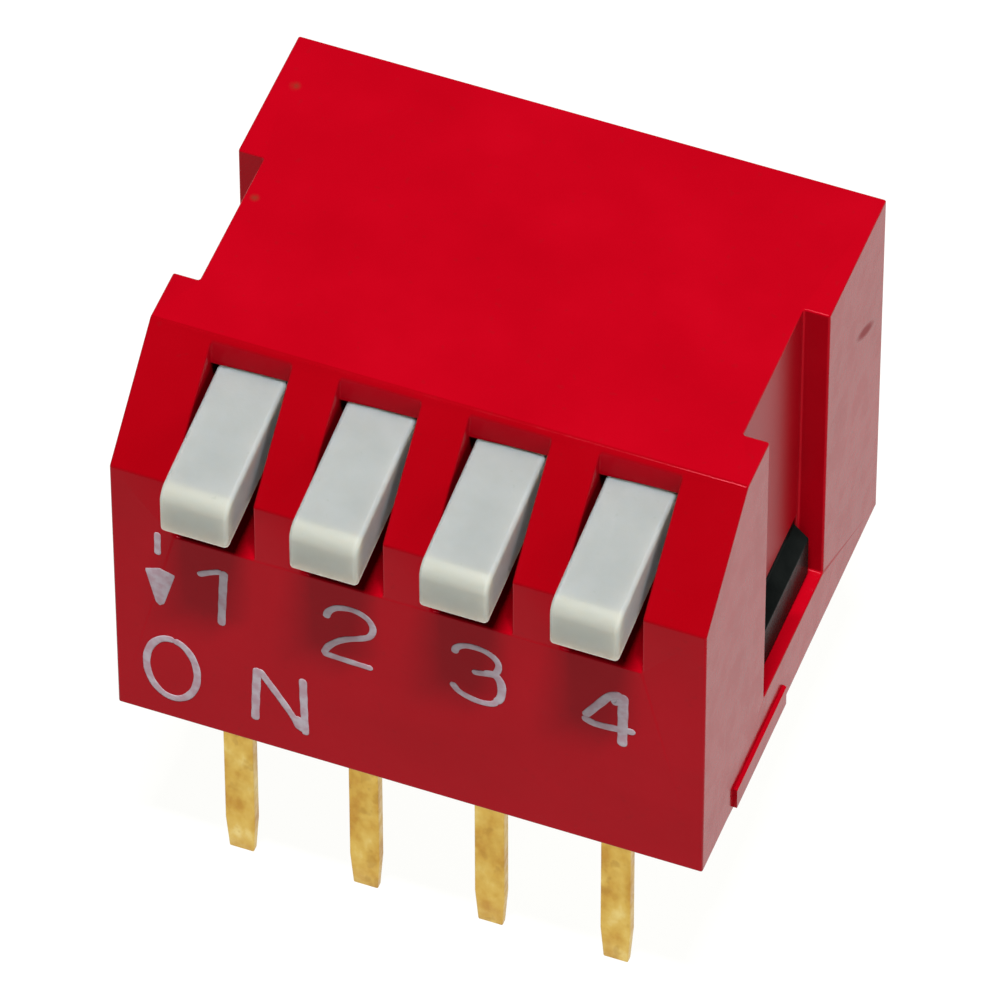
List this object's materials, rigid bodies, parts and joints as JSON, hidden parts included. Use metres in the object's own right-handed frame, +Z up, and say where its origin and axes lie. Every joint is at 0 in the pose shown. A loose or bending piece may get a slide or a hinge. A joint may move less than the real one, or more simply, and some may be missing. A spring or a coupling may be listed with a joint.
{
  "type": "dip switch",
  "caption": "Piano-type dip switch: a row of white levers in a red cover that latches over a black base, with gold-plated through-hole pins in two rows.",
  "frame": {"origin": "middle of the pin pattern on the seating plane, which is the cover's lower rim", "axes": "+X along the row from lever 1 to lever 4, -Y the side the levers point to, +Z up, away from the board"},
  "size_m": [0.0118, 0.0106, 0.0133],
  "materials": {
    "red_plastic": "glass-filled polyester, satin moulded skin",
    "black_plastic": "glass-filled polyester, dull black",
    "sealing_resin": "poured epoxy resin, smooth",
    "white_plastic": "nylon, slightly translucent, faint grain",
    "spring_steel": "drawn stainless wire",
    "gold_plate": "thin gold plating over copper alloy, slightly mottled"
  },
  "bodies": {
    "housing": {"cover": "red_plastic", "base": "black_plastic", "bottom_seal": "sealing_resin", "front_terminal_1": "gold_plate", "front_terminal_2": "gold_plate", "front_terminal_3": "gold_plate", "front_terminal_4": "gold_plate", "rear_terminal_1": "gold_plate", "rear_terminal_2": "gold_plate", "rear_terminal_3": "gold_plate", "rear_terminal_4": "gold_plate"},
    "lever_1_unit": {"lever_1": "white_plastic", "contact_spring_1": "spring_steel", "bridge_contact_1": "gold_plate"},
    "lever_2_unit": {"lever_2": "white_plastic", "contact_spring_2": "spring_steel", "bridge_contact_2": "gold_plate"},
    "lever_3_unit": {"lever_3": "white_plastic", "contact_spring_3": "spring_steel", "bridge_contact_3": "gold_plate"},
    "lever_4_unit": {"lever_4": "white_plastic", "contact_spring_4": "spring_steel", "bridge_contact_4": "gold_plate"}
  },
  "joints": [
    {"name": "lever_1_turn", "type": "hinge", "parent": "housing", "child": "lever_1_unit", "pos_m": [-0.00381, 0, 0.00705], "axis": [1, 0, 0], "range_deg": [0, 14]},
    {"name": "lever_2_turn", "type": "hinge", "parent": "housing", "child": "lever_2_unit", "pos_m": [-0.00127, 0, 0.00705], "axis": [1, 0, 0], "range_deg": [0, 14]},
    {"name": "lever_3_turn", "type": "hinge", "parent": "housing", "child": "lever_3_unit", "pos_m": [0.00127, 0, 0.00705], "axis": [1, 0, 0], "range_deg": [0, 14]},
    {"name": "lever_4_turn", "type": "hinge", "parent": "housing", "child": "lever_4_unit", "pos_m": [0.00381, 0, 0.00705], "axis": [1, 0, 0], "range_deg": [0, 14]}
  ]
}
